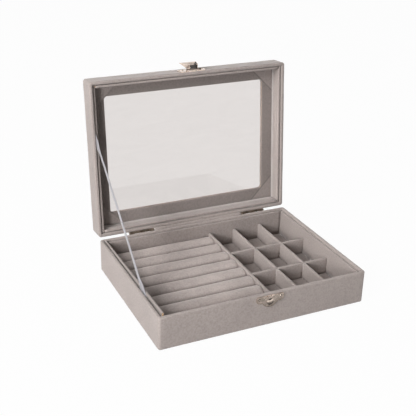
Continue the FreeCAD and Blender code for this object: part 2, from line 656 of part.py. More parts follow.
# Cloth strip between the hinges: up the base's wall, around the pin's line and along the lid's wall

opened = math.radians(size("lid_open"))


def swung(across, up, angle):
    """A point beside the pin's line, carried along by the lid through an angle."""
    y = across * math.cos(angle) + up * math.sin(angle)
    z = up * math.cos(angle) - across * math.sin(angle)
    return FreeCAD.Vector(0, size("hinge_y") + y, size("hinge_z") + z)


def strip_side(across):
    """The strip's line at a distance from the pin's line: straight, arc, straight."""
    low, bend = swung(across, -size("strip_leg"), 0), swung(across, 0, 0)
    turned, high = swung(across, 0, opened), swung(across, size("strip_leg"), opened)
    arc = Part.Arc(bend, swung(across, 0, opened / 2), turned).toShape()
    return low, high, [Part.makeLine(low, bend), arc, Part.makeLine(turned, high)]


strip_far = size("strip_gap") - size("hinge_standoff") - size("knuckle_radius")
low_far, high_far, far_side = strip_side(strip_far)
low_near, high_near, near_side = strip_side(strip_far + size("cloth_strip"))
strip_edges = far_side + near_side + [Part.makeLine(low_far, low_near), Part.makeLine(high_far, high_near)]
strip_face = Part.Face(Part.Wire(Part.__sortEdges__(strip_edges)))
strip_half = size("hinge_x") - size("hinge_width") / 2 - size("strip_hinge_gap")
strip_face.translate(FreeCAD.Vector(size("hinge_shift") - strip_half, 0, 0))
node(formed(strip_face.extrude(FreeCAD.Vector(2 * strip_half, 0, 0))), "hinge_cloth")


# Stay ribbon, straight between the two slots at the left

stay = bind(doc.addObject("Part::Box", "ribbon"), Length="ribbon", Width="ribbon_run", Height="ribbon_width")
stay_turn = "rotation(vector(1; 0; 0); ribbon_lean)"
stay_middle = f"placement(vector(0; ribbon_low_y + ribbon_back / 2; hinge_z + ribbon_rise / 2); {stay_turn})"
stay_x = "0 - slot_x - stay_slot / 2 - ribbon / 2"
stay_corner = f"placement(vector({stay_x}; 0 - ribbon_run / 2; 0 - ribbon_width / 2); {UPRIGHT})"
stay.setExpression("Placement", bound(f"{stay_middle} * {stay_corner}"))
node(stay, "stay_ribbon")


# Clasp: catch on the base

def catch_point(shares, way):
    across, down = shares
    height = size("catch_top") - down * size("catch_height")
    return FreeCAD.Vector(size("clasp_x") + way * across * size("catch_width"), -size("half_depth"), height)


top_left, top_right = catch_point((CATCH_TOP_SHARE, 0), -1), catch_point((CATCH_TOP_SHARE, 0), 1)
cusp_left, cusp_right = catch_point(CATCH_CUSP_SHARES, -1), catch_point(CATCH_CUSP_SHARES, 1)
catch_edges = [
    Part.makeLine(top_left, top_right),
    Part.Arc(top_right, catch_point(CATCH_EAR_SHARES, 1), cusp_right).toShape(),
    Part.Arc(cusp_right, catch_point((0, 1), 1), cusp_left).toShape(),
    Part.Arc(cusp_left, catch_point(CATCH_EAR_SHARES, -1), top_left).toShape(),
]
catch_sheet = formed(Part.Face(Part.Wire(catch_edges)).extrude(FreeCAD.Vector(0, -size("clasp_plate"), 0)))

hook_low = "catch_top + hook_rise - hook_height"
hook_straight = "(hook_width - 2 * hook_corner)"
hook_side = "hook_front + hook_corner"
side_depth = "hook_depth - hook_corner + clasp_plate / 2"
hook = [
    box(hook_straight, "hook_depth + clasp_plate / 2", "hook_height", f"clasp_x - {hook_straight} / 2", "hook_front", hook_low),
    box("hook_width", side_depth, "hook_height", "clasp_x - hook_width / 2", hook_side, hook_low),
]
for way in (-1, 1):
    x = f"clasp_x + {way} * (hook_width / 2 - hook_corner)"
    hook.append(rod("hook_corner", "hook_height", x, hook_side, hook_low))
eye = rod("eye_radius", "hook_height + 2 * overrun", "clasp_x", "hook_front + hook_depth / 2", f"{hook_low} - overrun")

ball = bind(doc.addObject("Part::Sphere", "ball"), Radius="boss_sphere")
place(ball, "clasp_x", "boss_sphere - boss_rise - clasp_plate - half_depth", "catch_top - boss_drop")
before_plate = box("2 * boss_radius", "boss_rise + clasp_plate / 2", "2 * boss_radius", "clasp_x - boss_radius",
                   "0 - half_depth - clasp_plate - boss_rise", "catch_top - boss_drop - boss_radius")
boss = doc.addObject("Part::Common", "boss")
boss.Base, boss.Tool = ball, before_plate
catch_nail_places = [f"clasp_x + {way} * catch_nail_x" for way in (-1, 1)]
catch_nail_z = "catch_top - catch_nail_drop"
catch_holes = [nail_hole(x, catch_nail_z, "clasp_plate", False) for x in catch_nail_places]
node(cut(joined(catch_sheet, boss, *hook), eye, *catch_holes), "catch_plate")
node(group(*[nail(x, catch_nail_z, "clasp_plate", False) for x in catch_nail_places]), "catch_nails")


# Clasp: latch plate, pin and flap on the lid

latch = new_body()
latch_outline = rectangle(sketch_in(latch, plane="XZ_Plane"), "latch_width", "latch_height", "latch_round")
pad(latch, latch_outline, "clasp_plate")
place(latch, "clasp_x", "0 - half_depth", "lid_low + latch_rise + latch_height / 2")
ears = []
for x in ("clasp_x - latch_knuckles / 2", "clasp_x + latch_knuckles / 2 - flap_ear"):
    ears.append(rod("flap_barrel_radius", "flap_ear", x, "flap_y", "flap_z", ALONG_X))
    foot_depth = "flap_barrel_radius + flap_standoff + clasp_plate / 2"
    ears.append(box("flap_ear", foot_depth, "2 * flap_barrel_radius", x, "flap_y", "flap_z - flap_barrel_radius"))


def pin_bore():
    start = "clasp_x - latch_knuckles / 2 - overrun"
    return rod("flap_pin_radius + pin_play", "latch_knuckles + 2 * overrun", start, "flap_y", "flap_z", ALONG_X)


latch_nail_places = []
for way in (-1, 1):
    latch_nail_places += [f"clasp_x + {way} * (latch_nail_x + {step} * latch_nail_step)" for step in (0, 1)]
latch_nail_z = "lid_low + latch_nail_rise"
latch_holes = [nail_hole(x, latch_nail_z, "clasp_plate", False) for x in latch_nail_places]
node(place(cut(joined(latch, *ears), pin_bore(), *latch_holes), body="lid"), "latch_plate")
latch_nails = [nail(x, latch_nail_z, "clasp_plate", False) for x in latch_nail_places]
node(place(group(*latch_nails), body="lid"), "latch_nails")
latch_pin = rod("flap_pin_radius", "latch_knuckles", "clasp_x - latch_knuckles / 2", "flap_y", "flap_z", ALONG_X)
node(place(group(latch_pin), body="lid"), "latch_pin")

# The flap is a beak that widens from its pin to its tip, open below and towards the case.

def beak(start, wall_width, wall_low, wall_high, end, tip_width):
    """A wedge from a distance out of the pin's line to its tip, between two heights at its wall end."""
    corners = []
    for way in (-1, 1):
        corners.append(FreeCAD.Vector(way * wall_width / 2, -start, wall_high))
        corners.append(FreeCAD.Vector(way * wall_width / 2, -start, wall_low))
        corners.append(FreeCAD.Vector(way * tip_width / 2, -end, wall_low))
    rings = [(0, 1, 2), (3, 4, 5), (0, 1, 4, 3), (1, 2, 5, 4), (0, 2, 5, 3)]
    faces = [Part.Face(Part.makePolygon([corners[number] for number in ring + ring[:1]])) for ring in rings]
    return Part.Solid(Part.Shell(faces))


near = size("flap_wall_gap") - size("flap_standoff") - size("flap_barrel_radius")
reach = size("flap_out") - near
top, low = size("flap_head_rise"), -size("flap_down")
slope = (top - low) / reach
widening = (size("flap_tip") - size("flap_root")) / reach
thick = size("flap_sheet") * math.hypot(1, slope)
beyond = size("overrun")
inner_start = near - beyond
inner_end = near + (top - thick - low + beyond) / slope
inner_width = size("flap_root") - 2 * size("flap_sheet")
outside = beak(near, size("flap_root"), low, top, size("flap_out"), size("flap_tip"))
inside = beak(inner_start, inner_width - beyond * widening, low - beyond, top - thick + beyond * slope,
              inner_end, inner_width + (inner_end - near) * widening)
shell = place(formed(outside.cut(inside)), "clasp_x", "flap_y", "flap_z")
knuckle = rod("flap_barrel_radius", "flap_root", "clasp_x - flap_root / 2", "flap_y", "flap_z", ALONG_X)
bar_y = "flap_y + flap_barrel_radius + flap_standoff - flap_wall_gap - flap_bar"
bar = box("flap_root - flap_sheet", "flap_bar", "flap_bar", "clasp_x - (flap_root - flap_sheet) / 2", bar_y, "flap_z - flap_down")
node(place(cut(joined(shell, knuckle, bar), pin_bore()), body="flap"), "latch_flap")


# Checking and writing

doc.recompute()
for obj in doc.Objects:
    if "Invalid" in obj.State or "Error" in obj.State:
        raise RuntimeError(f"{obj.Label} cannot be built: {obj.State}")
os.makedirs("parts", exist_ok=True)
for obj in nodes:
    if obj.Shape.isNull() or not obj.Shape.isValid() or not obj.Shape.Solids:
        raise RuntimeError(f"{obj.Label} has no sound shape")
    obj.Shape.exportStep(os.path.join("parts", obj.Label + ".step"))
    bounds = obj.Shape.BoundBox
    extents = (bounds.XMin, bounds.XMax, bounds.YMin, bounds.YMax, bounds.ZMin, bounds.ZMax)
    print(obj.Label, len(obj.Shape.Solids), round(obj.Shape.Volume, 2), [round(value, 2) for value in extents])
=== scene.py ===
"""The looks of the jewelry case: velvet over boards, padded ring rolls, a glass window, a clasp and hinges."""
import json
import math

import bmesh
import bpy
from mathutils import Matrix, Vector, noise
from mathutils.bvhtree import BVHTree


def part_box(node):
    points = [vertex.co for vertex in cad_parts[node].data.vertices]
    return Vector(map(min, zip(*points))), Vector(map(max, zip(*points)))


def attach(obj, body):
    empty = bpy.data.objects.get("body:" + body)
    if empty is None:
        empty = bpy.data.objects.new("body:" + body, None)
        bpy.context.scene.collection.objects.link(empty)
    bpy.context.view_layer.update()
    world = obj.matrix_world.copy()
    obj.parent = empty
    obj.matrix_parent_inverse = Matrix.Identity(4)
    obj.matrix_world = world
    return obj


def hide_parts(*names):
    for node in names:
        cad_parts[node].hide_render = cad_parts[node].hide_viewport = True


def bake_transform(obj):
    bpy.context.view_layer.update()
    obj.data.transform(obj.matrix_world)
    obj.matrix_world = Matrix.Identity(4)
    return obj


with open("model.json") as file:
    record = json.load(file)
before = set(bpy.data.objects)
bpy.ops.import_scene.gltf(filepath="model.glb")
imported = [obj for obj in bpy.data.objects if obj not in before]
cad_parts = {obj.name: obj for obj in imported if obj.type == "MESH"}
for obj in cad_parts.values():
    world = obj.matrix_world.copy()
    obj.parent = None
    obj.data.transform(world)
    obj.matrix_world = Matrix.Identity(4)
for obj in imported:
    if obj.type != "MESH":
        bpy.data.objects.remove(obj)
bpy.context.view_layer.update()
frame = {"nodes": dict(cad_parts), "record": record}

MM = 0.001
CELL = 3 * MM  # usual size of a mesh cell
VELVET = 0.4 * MM  # thickness
WALL = 3.2 * MM  # a wall board with velvet on both sides
TURN_IN = 8 * MM  # velvet turned in over a rim
RIM_ROUND = 1.2 * MM
TOP_ROUND = 1.6 * MM
CASE_CORNER = 2.5 * MM  # upright edges of the case, outside
INNER_CORNER = 0.5 * MM  # and inside
WINDOW_ROUND = 3 * MM
WINDOW_EDGE = 0.9 * MM  # rounding of the lid's top towards the glass
GLASS_LAP = 6 * MM  # how far the frame covers the glass
PATCH_MARGIN = 0.1 * MM  # between a patch and the window's round corner
FOOT_SHADE = 1.6 * MM  # height of the painted shade at a divider's foot

joints = {joint["name"]: joint for joint in frame["record"]["behaviour"]["joints"]}
HINGE = Vector(joints["lid_hinge"]["pos_m"])
LID_OPEN = math.radians(joints["lid_hinge"]["range_deg"][1])
OPENED = Matrix.Translation(HINGE) @ Matrix.Rotation(-LID_OPEN, 4, "X") @ Matrix.Translation(-HINGE)
CLOSED = OPENED.inverted()


# Camera, at the photograph's viewing angle

LENS = 71.36
TARGET = Vector((-22.82, 0, 83.48)) * MM
DISTANCE = 729.94 * MM
AZIMUTH, ELEVATION, ROLL = (math.radians(angle) for angle in (-25.72, 24.98, 1.56))


def aim_camera():
    flat = math.cos(ELEVATION)
    back = Vector((math.sin(AZIMUTH) * flat, -math.cos(AZIMUTH) * flat, math.sin(ELEVATION)))
    right = Vector((math.cos(AZIMUTH), math.sin(AZIMUTH), 0))
    up = back.cross(right)
    across = math.cos(ROLL) * right + math.sin(ROLL) * up
    upward = math.cos(ROLL) * up - math.sin(ROLL) * right
    data = bpy.data.cameras.new("camera")
    data.lens = LENS
    data.clip_start = 0.01
    camera = bpy.data.objects.new("camera", data)
    turn = Matrix((across, upward, back)).transposed().to_4x4()
    camera.matrix_world = Matrix.Translation(TARGET + DISTANCE * back) @ turn
    bpy.context.scene.collection.objects.link(camera)
    bpy.context.scene.camera = camera


aim_camera()


# Materials

def new_material(name):
    """A material with its node tree, its shader and the object coordinates."""
    material = bpy.data.materials.new(name)
    material.use_nodes = True
    tree = material.node_tree
    coordinates = tree.nodes.new("ShaderNodeTexCoord").outputs["Object"]
    return material, tree, tree.nodes["Principled BSDF"], coordinates


def stretched(tree, coordinates, scale):
    mapping = tree.nodes.new("ShaderNodeMapping")
    mapping.inputs["Scale"].default_value = scale
    tree.links.new(coordinates, mapping.inputs["Vector"])
    return mapping.outputs["Vector"]


def speckle(tree, coordinates, scale, detail=3.0, distortion=0.0):
    texture = tree.nodes.new("ShaderNodeTexNoise")
    texture.inputs["Scale"].default_value = scale
    texture.inputs["Detail"].default_value = detail
    texture.inputs["Distortion"].default_value = distortion
    tree.links.new(coordinates, texture.inputs["Vector"])
    return texture.outputs["Fac"]


def ramp(tree, source, stops):
    """Colours or greys by a texture's value; stops are pairs of value and colour."""
    node = tree.nodes.new("ShaderNodeValToRGB")
    elements = node.color_ramp.elements
    while len(elements) < len(stops):
        elements.new(0.5)
    for element, (value, colour) in zip(elements, stops):
        element.position = value
        element.color = (*colour, 1)
    tree.links.new(source, node.inputs["Fac"])
    return node.outputs["Color"]


def grey(value):
    return (value, value, value)


def multiplied(tree, first, second):
    node = tree.nodes.new("ShaderNodeMix")
    node.data_type = "RGBA"
    node.blend_type = "MULTIPLY"
    node.inputs["Factor"].default_value = 1.0
    tree.links.new(first, node.inputs["A"])
    tree.links.new(second, node.inputs["B"])
    return node.outputs["Result"]


def bumped(tree, shader, sources):
    """Bump from textures; each source is its value, strength and depth in metres."""
    normal = None
    for source, strength, depth in sources:
        node = tree.nodes.new("ShaderNodeBump")
        node.inputs["Strength"].default_value = strength
        node.inputs["Distance"].default_value = depth
        tree.links.new(source, node.inputs["Height"])
        if normal:
            tree.links.new(normal, node.inputs["Normal"])
        normal = node.outputs["Normal"]
    tree.links.new(normal, shader.inputs["Normal"])


def shade(colour, factor):
    return tuple(channel * factor for channel in colour)


def velvet_material(name, colour, nap=0.07, sheen=0.5):
    """Short pile: patches of nap that lean differently, fine speckle and a soft sheen, and painted shade where a mesh
    marks it.
    """
    material, tree, shader, coordinates = new_material(name)
    patches = speckle(tree, coordinates, 16, 4, 0.8)
    pile = speckle(tree, coordinates, 650, 4)
    fibres = speckle(tree, stretched(tree, coordinates, (1, 1, 0.45)), 1900, 2)
    naps = ramp(tree, patches, [(0.3, shade(colour, 1 - nap)), (0.5, colour), (0.72, shade(colour, 1 + nap))])
    specks = ramp(tree, pile, [(0.28, grey(0.85)), (0.5, grey(0.99)), (0.75, grey(1.10))])
    # painted shade: the colour darkens to 0.42 where a mesh's shade mark is 1
    shade_mark = tree.nodes.new("ShaderNodeAttribute")
    shade_mark.attribute_name = "shade_mark"
    shaded = ramp(tree, shade_mark.outputs["Fac"], [(0.0, grey(1.0)), (1.0, grey(0.42))])
    tree.links.new(multiplied(tree, multiplied(tree, naps, specks), shaded), shader.inputs["Base Color"])
    shader.inputs["Roughness"].default_value = 0.95
    shader.inputs["Specular IOR Level"].default_value = 0.12
    shader.inputs["Sheen Weight"].default_value = sheen
    shader.inputs["Sheen Roughness"].default_value = 0.45
    shader.inputs["Sheen Tint"].default_value = (0.93, 0.88, 0.86, 1)
    bumped(tree, shader, [(patches, 0.15, 0.0006), (pile, 0.35, 0.0003), (fibres, 0.3, 0.00015)])
    return material


def fibreboard_material():
    material, tree, shader, coordinates = new_material("bare_fibreboard")
    fibres = speckle(tree, stretched(tree, coordinates, (1, 0.35, 1)), 900, 5)
    clumps = speckle(tree, coordinates, 120, 3)
    tans = [(0.25, (0.36, 0.235, 0.14)), (0.5, (0.52, 0.36, 0.225)), (0.8, (0.64, 0.47, 0.31))]
    tan = ramp(tree, fibres, tans)
    tone = ramp(tree, clumps, [(0.3, grey(0.9)), (0.7, grey(1.05))])
    tree.links.new(multiplied(tree, tan, tone), shader.inputs["Base Color"])
    shader.inputs["Roughness"].default_value = 0.88
    bumped(tree, shader, [(fibres, 0.4, 0.0002)])
    return material


def felt_material():
    material, tree, shader, coordinates = new_material("underside_felt")
    matted = speckle(tree, coordinates, 260, 6, 2.5)
    fuzz = speckle(tree, coordinates, 1400, 3)
    tone = ramp(tree, matted, [(0.3, (0.10, 0.092, 0.088)), (0.7, (0.155, 0.145, 0.138))])
    tree.links.new(tone, shader.inputs["Base Color"])
    shader.inputs["Roughness"].default_value = 0.97
    shader.inputs["Sheen Weight"].default_value = 0.2
    bumped(tree, shader, [(matted, 0.5, 0.0004), (fuzz, 0.4, 0.0002)])
    return material


def metal_material(name, colour, roughness, tarnish, dents):
    """Plated metal with fine scratches, duller patches, the soft dents of thin pressed sheet and painted shade in its
    hollows.
    """
    material, tree, shader, coordinates = new_material(name)
    patches = speckle(tree, coordinates, 180, 5, 0.6)
    scratches = speckle(tree, stretched(tree, coordinates, (1, 14, 14)), 400, 4)
    tone = ramp(tree, patches, [(0.3, shade(colour, tarnish)), (0.55, colour), (0.8, shade(colour, 1.06))])
    hollow = tree.nodes.new("ShaderNodeAttribute")
    hollow.attribute_name = "hollow"
    # painted shade: the colour darkens to 0.04 deep in a hollow
    hollow_shade = ramp(tree, hollow.outputs["Fac"], [(0.15, grey(1.0)), (0.4, grey(0.04))])
    tree.links.new(multiplied(tree, tone, hollow_shade), shader.inputs["Base Color"])
    shader.inputs["Metallic"].default_value = 1.0
    rough = ramp(tree, scratches, [(0.3, grey(roughness * 0.8)), (0.7, grey(roughness * 1.35))])
    tree.links.new(rough, shader.inputs["Roughness"])
    waves = speckle(tree, coordinates, 330, 1)
    bumped(tree, shader, [(scratches, 0.06, 0.00008), (patches, 0.05, 0.0001), (waves, dents, 0.0006)])
    return material


def ribbon_material():
    """Satin: fine ribs across the ribbon and a soft gloss along it."""
    material, tree, shader, coordinates = new_material("satin_ribbon")
    ribs = tree.nodes.new("ShaderNodeTexWave")
    ribs.bands_direction = "DIAGONAL"
    ribs.inputs["Scale"].default_value = 420
    ribs.inputs["Distortion"].default_value = 0.6
    tree.links.new(stretched(tree, coordinates, (0, 1, 1)), ribs.inputs["Vector"])
    cloud = speckle(tree, coordinates, 90, 3)
    tone = ramp(tree, cloud, [(0.3, (0.285, 0.272, 0.293)), (0.7, (0.36, 0.345, 0.37))])
    thread = ramp(tree, ribs.outputs["Fac"], [(0.2, grey(0.9)), (0.8, grey(1.04))])
    tree.links.new(multiplied(tree, tone, thread), shader.inputs["Base Color"])
    shader.inputs["Roughness"].default_value = 0.42
    shader.inputs["Sheen Weight"].default_value = 0.35
    bumped(tree, shader, [(ribs.outputs["Fac"], 0.2, 0.0001)])
    return material


def glass_material():
    """Clear float glass with a trace of wiping marks."""
    material, tree, shader, coordinates = new_material("clear_glass")
    wipes = speckle(tree, stretched(tree, coordinates, (1, 4, 4)), 25, 5, 1.2)
    rough = ramp(tree, wipes, [(0.4, grey(0.0)), (0.75, grey(0.03))])
    tree.links.new(rough, shader.inputs["Roughness"])
    tint = ramp(tree, wipes, [(0.3, (0.735, 0.70, 0.685)), (0.8, (0.76, 0.725, 0.71))])
    tree.links.new(tint, shader.inputs["Base Color"])
    shader.inputs["Transmission Weight"].default_value = 1.0
    shader.inputs["IOR"].default_value = 1.46
    return material


GREIGE = (0.375, 0.325, 0.305)
velvet = velvet_material("velvet", GREIGE)
padded_velvet = velvet_material("padded_velvet", shade(GREIGE, 1.24), 0.16, 0.6)
card_velvet = velvet_material("card_velvet", shade(GREIGE, 0.97), 0.06)
# the window's lining: a darker copy of the card velvet, painted shade for the lid's deep recess
lining_velvet = velvet_material("lining_velvet", shade(GREIGE, 0.70), 0.06, 0.3)
liner_velvet = velvet_material("liner_velvet", shade(GREIGE, 0.91))
patch_velvet = velvet_material("patch_velvet", shade(GREIGE, 0.88), 0.06, 0.3)
fibreboard = fibreboard_material()
felt = felt_material()
gold = metal_material("clasp_metal", (0.78, 0.65, 0.56), 0.12, 0.7, 0.42)
brass = metal_material("hinge_brass", (0.56, 0.46, 0.37), 0.32, 0.25, 0.3)
satin = ribbon_material()
glass = glass_material()


# Shapes

def mesh_of(name, points, faces):
    shape = bmesh.new()
    corners = [shape.verts.new(point) for point in points]
    for face in faces:
        shape.faces.new([corners[number] for number in face])
    return finished(name, shape)


def finished(name, shape):
    bmesh.ops.recalc_face_normals(shape, faces=shape.faces)
    mesh = bpy.data.meshes.new(name)
    shape.to_mesh(mesh)
    shape.free()
    mesh.shade_smooth()
    return mesh


def loft(name, rings, closed=False):
    """A skin through rings of equally many points; closed joins the last to the first, else the ends are capped."""
    count = len(rings[0])
    total = len(rings)
    points = [point for ring in rings for point in ring]
    faces = []
    for row in range(total if closed else total - 1):
        one, two = row * count, (row + 1) % total * count
        for number in range(count):
            following = (number + 1) % count
            faces.append((one + number, one + following, two + following, two + number))
    if not closed:
        faces.append(tuple(range(count)))
        faces.append(tuple(range((total - 1) * count, total * count)))
    return mesh_of(name, points, faces)


ROUND_PARTS = 5
RING_PARTS = 6
RING_SIDES = (48, 36, 48, 36)


def rounded(corners, radii, step):
    """A closed outline of square corners, rounded, with its long sides divided."""
    points = []
    for number, (corner, radius) in enumerate(zip(corners, radii)):
        corner = Vector(corner)
        if not radius:
            points.append(corner)
            continue
        back = (Vector(corners[number - 1]) - corner).normalized() * radius
        ahead = (Vector(corners[(number + 1) % len(corners)]) - corner).normalized() * radius
        for part in range(ROUND_PARTS + 1):
            angle = math.pi / 2 * part / ROUND_PARTS
            points.append(corner + back * (1 - math.sin(angle)) + ahead * (1 - math.cos(angle)))
    outline = []
    for point, following in zip(points, points[1:] + points[:1]):
        parts = max(1, round((following - point).length / step))
        outline += [point.lerp(following, part / parts) for part in range(parts)]
    return outline


def ring(half_x, half_y, corner, z):
    """A level ring with round corners; its sides have as many points whatever its size."""
    points = []
    signs = [(1, 1), (-1, 1), (-1, -1), (1, -1)]
    for number, (way_x, way_y) in enumerate(signs):
        middle = Vector((way_x * (half_x - corner), way_y * (half_y - corner), z))
        arc = []
        for part in range(RING_PARTS + 1):
            angle = math.pi / 2 * (number + part / RING_PARTS)
            arc.append(middle + corner * Vector((math.cos(angle), math.sin(angle), 0)))
        next_x, next_y = signs[(number + 1) % 4]
        start = math.pi / 2 * (number + 1)
        goal = Vector((next_x * (half_x - corner), next_y * (half_y - corner), z))
        goal += corner * Vector((math.cos(start), math.sin(start), 0))
        points += arc
        parts = RING_SIDES[number]
        points += [arc[-1].lerp(goal, part / parts) for part in range(1, parts)]
    return points


def uneven(mesh, amount, scale, shift=0.0, gate=None):
    """Moves a soft surface in and out a little along its normals."""
    moves = []
    for vertex in mesh.vertices:
        swell = noise.noise(vertex.co * scale + Vector((shift, shift, shift)))
        if gate:
            swell *= gate(vertex.co)
        moves.append(vertex.co + vertex.normal * amount * swell)
    for vertex, place in zip(mesh.vertices, moves):
        vertex.co = place
    mesh.update()
    return mesh


def paint_shade(mesh, depth):
    """Marks painted shade on a velvet mesh, from 0 to 1."""
    marks = mesh.attributes.new("shade_mark", "FLOAT", "POINT")
    marks.data.foreach_set("value", [min(1, max(0, depth(vertex.co))) for vertex in mesh.vertices])
    return mesh


def prism(name, outline, low, high, edge, cell=CELL):
    """An upright solid over an outline, with rounded edges, divided into cells."""
    shape = bmesh.new()
    foot = shape.faces.new([shape.verts.new((x, y, low)) for x, y in outline])
    raised = bmesh.ops.extrude_face_region(shape, geom=[foot])["geom"]
    corners = [item for item in raised if isinstance(item, bmesh.types.BMVert)]
    bmesh.ops.translate(shape, verts=corners, vec=(0, 0, high - low))
    bmesh.ops.recalc_face_normals(shape, faces=shape.faces)
    sharp = [item for item in shape.edges if item.calc_face_angle() > math.radians(30)]
    bmesh.ops.bevel(shape, geom=sharp, offset=edge, segments=3, profile=0.5, affect="EDGES", clamp_overlap=True)
    places = [vertex.co for vertex in shape.verts]
    for axis in range(3):
        start = min(place[axis] for place in places)
        end = max(place[axis] for place in places)
        parts = max(1, round((end - start) / cell))
        direction = [0, 0, 0]
        direction[axis] = 1
        for part in range(1, parts):
            through = [0, 0, 0]
            through[axis] = start + (end - start) * part / parts
            geometry = shape.verts[:] + shape.edges[:] + shape.faces[:]
            bmesh.ops.bisect_plane(shape, geom=geometry, plane_co=through, plane_no=direction)
    return finished(name, shape)


def slab(name, low, high, edge, cell=CELL):
    outline = [(low[0], low[1]), (high[0], low[1]), (high[0], high[1]), (low[0], high[1])]
    return prism(name, outline, low[2], high[2], edge, cell)


def sheet(name, grid, thickness):
    """A thin closed solid on a grid of points, thick to one side along the normals of the grid."""
    rows, columns = len(grid), len(grid[0])
    under = []
    for row in range(rows):
        for column in range(columns):
            along = grid[min(row + 1, rows - 1)][column] - grid[max(row - 1, 0)][column]
            over = grid[row][min(column + 1, columns - 1)] - grid[row][max(column - 1, 0)]
            under.append(grid[row][column] + along.cross(over).normalized() * thickness)
    points = [point for line in grid for point in line] + under
    deep = rows * columns
    faces = []
    for row in range(rows - 1):
        for column in range(columns - 1):
            first = row * columns + column
            quad = (first, first + 1, first + columns + 1, first + columns)
            faces += [quad, tuple(deep + number for number in reversed(quad))]
    border = list(range(columns))
    border += [row * columns + columns - 1 for row in range(1, rows)]
    border += [(rows - 1) * columns + column for column in range(columns - 2, -1, -1)]
    border += [row * columns for row in range(rows - 2, 0, -1)]
    for number, following in zip(border, border[1:] + border[:1]):
        faces.append((following, number, deep + number, deep + following))
    return mesh_of(name, points, faces)


def piece(mesh, material, body, slot, *nodes):
    """Shows a mesh as a piece that moves with a body, if any, and stands for CAD nodes; its slot argument is not
    used.
    """
    obj = bpy.data.objects.new(mesh.name, mesh)
    bpy.context.scene.collection.objects.link(obj)
    mesh.materials.append(material)
    if body:
        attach(obj, body)
    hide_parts(*nodes)
    return obj


def joined(name, meshes):
    """One mesh of several."""
    shape = bmesh.new()
    for mesh in meshes:
        shape.from_mesh(mesh)
        bpy.data.meshes.remove(mesh)
    return finished(name, shape)


def opened(mesh):
    mesh.transform(OPENED)
    return mesh


def node_points(node):
    return [vertex.co for vertex in frame["nodes"][node].data.vertices]


def node_box(node):
    """Lowest and highest corner of a CAD node."""
    return [Vector(corner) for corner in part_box(node)]


def lid_box(node):
    """Lowest and highest corner of a lid's CAD node with the lid shut."""
    places = [CLOSED @ place for place in node_points(node)]
    return [Vector([pick(place[axis] for place in places) for axis in range(3)]) for pick in (min, max)]


# Covers of base and lid

base_low, base_high = node_box("base_cover")
HALF_X, HALF_Y, RIM = base_high
lid_low, lid_high = lid_box("lid_cover")
lining_low, lining_high = lid_box("window_lining")
glass_high = lid_box("glass_pane")[1]
RAIL = HALF_X - glass_high.x + GLASS_LAP  # from the lid's outside to the window
COVER_SKIN = 0.35 * MM  # a point this near to the outside belongs to it


def case_ring(inset, z):
    """A ring of the case at a distance in from its outside; its corners open out again at the window."""
    corner = max(CASE_CORNER - inset, INNER_CORNER)
    if inset > WALL:
        corner += (inset - WALL) / (RAIL - WALL) * (WINDOW_ROUND - INNER_CORNER)
    return ring(HALF_X - inset, HALF_Y - inset, corner, z)


def turned(name, corners, radii):
    """A skin around the case whose section has these corners: pairs of inset and height."""
    return loft(name, [case_ring(*point) for point in rounded(corners, radii, CELL)], True)


def on_outside(place):
    return max(abs(place.x) - HALF_X, abs(place.y) - HALF_Y) > -COVER_SKIN


def swelled(mesh, shifts, gate):
    """Velvet glued on a little unevenly, in broad swells and fine ones."""
    uneven(mesh, 0.16 * MM, 38, shifts[0], gate)
    return uneven(mesh, 0.07 * MM, 160, shifts[1], gate)


def base_cover():
    foot = base_low.z
    inside = RIM - TURN_IN
    corners = [(0, foot), (0, RIM), (WALL, RIM), (WALL, inside), (WALL - VELVET, inside),
               (WALL - VELVET, RIM - VELVET), (VELVET, RIM - VELVET), (VELVET, foot)]
    radii = [0.35 * MM, RIM_ROUND, RIM_ROUND] + 5 * [0]
    mesh = turned("base_velvet", corners, radii)
    return swelled(mesh, (3.1, 7.7), lambda place: float(on_outside(place) or place.z > RIM - MM))


def lid_cover():
    rim, top = lid_low.z, lid_high.z
    inside = rim + TURN_IN
    corners = [(WALL, inside), (WALL, rim), (0, rim), (0, top), (RAIL, top), (RAIL, glass_high.z),
               (RAIL - VELVET, glass_high.z), (RAIL - VELVET, top - VELVET), (VELVET, top - VELVET),
               (VELVET, rim + VELVET), (WALL - VELVET, rim + VELVET), (WALL - VELVET, inside)]
    radii = [0, RIM_ROUND, RIM_ROUND, TOP_ROUND, WINDOW_EDGE] + 7 * [0]
    mesh = turned("lid_velvet", corners, radii)
    return opened(swelled(mesh, (5.3, 1.9), lambda place: float(on_outside(place) or place.z > top - 0.2 * MM)))


piece(base_cover(), velvet, "base", "velvet", "base_cover")
piece(lid_cover(), velvet, "lid", "velvet", "lid_cover")

FELT_CORNER = 1.7 * MM
felt_low, felt_high = node_box("underside_felt")
felt_outline = [(point.x, point.y) for point in ring(felt_high.x, felt_high.y, FELT_CORNER, 0)]
felt_mesh = prism("felt_sheet", felt_outline, felt_low.z, felt_high.z, 0.15 * MM, 4 * CELL)
piece(felt_mesh, felt, "base", "felt", "underside_felt")


# Liners: velvet folded over the edge of each board

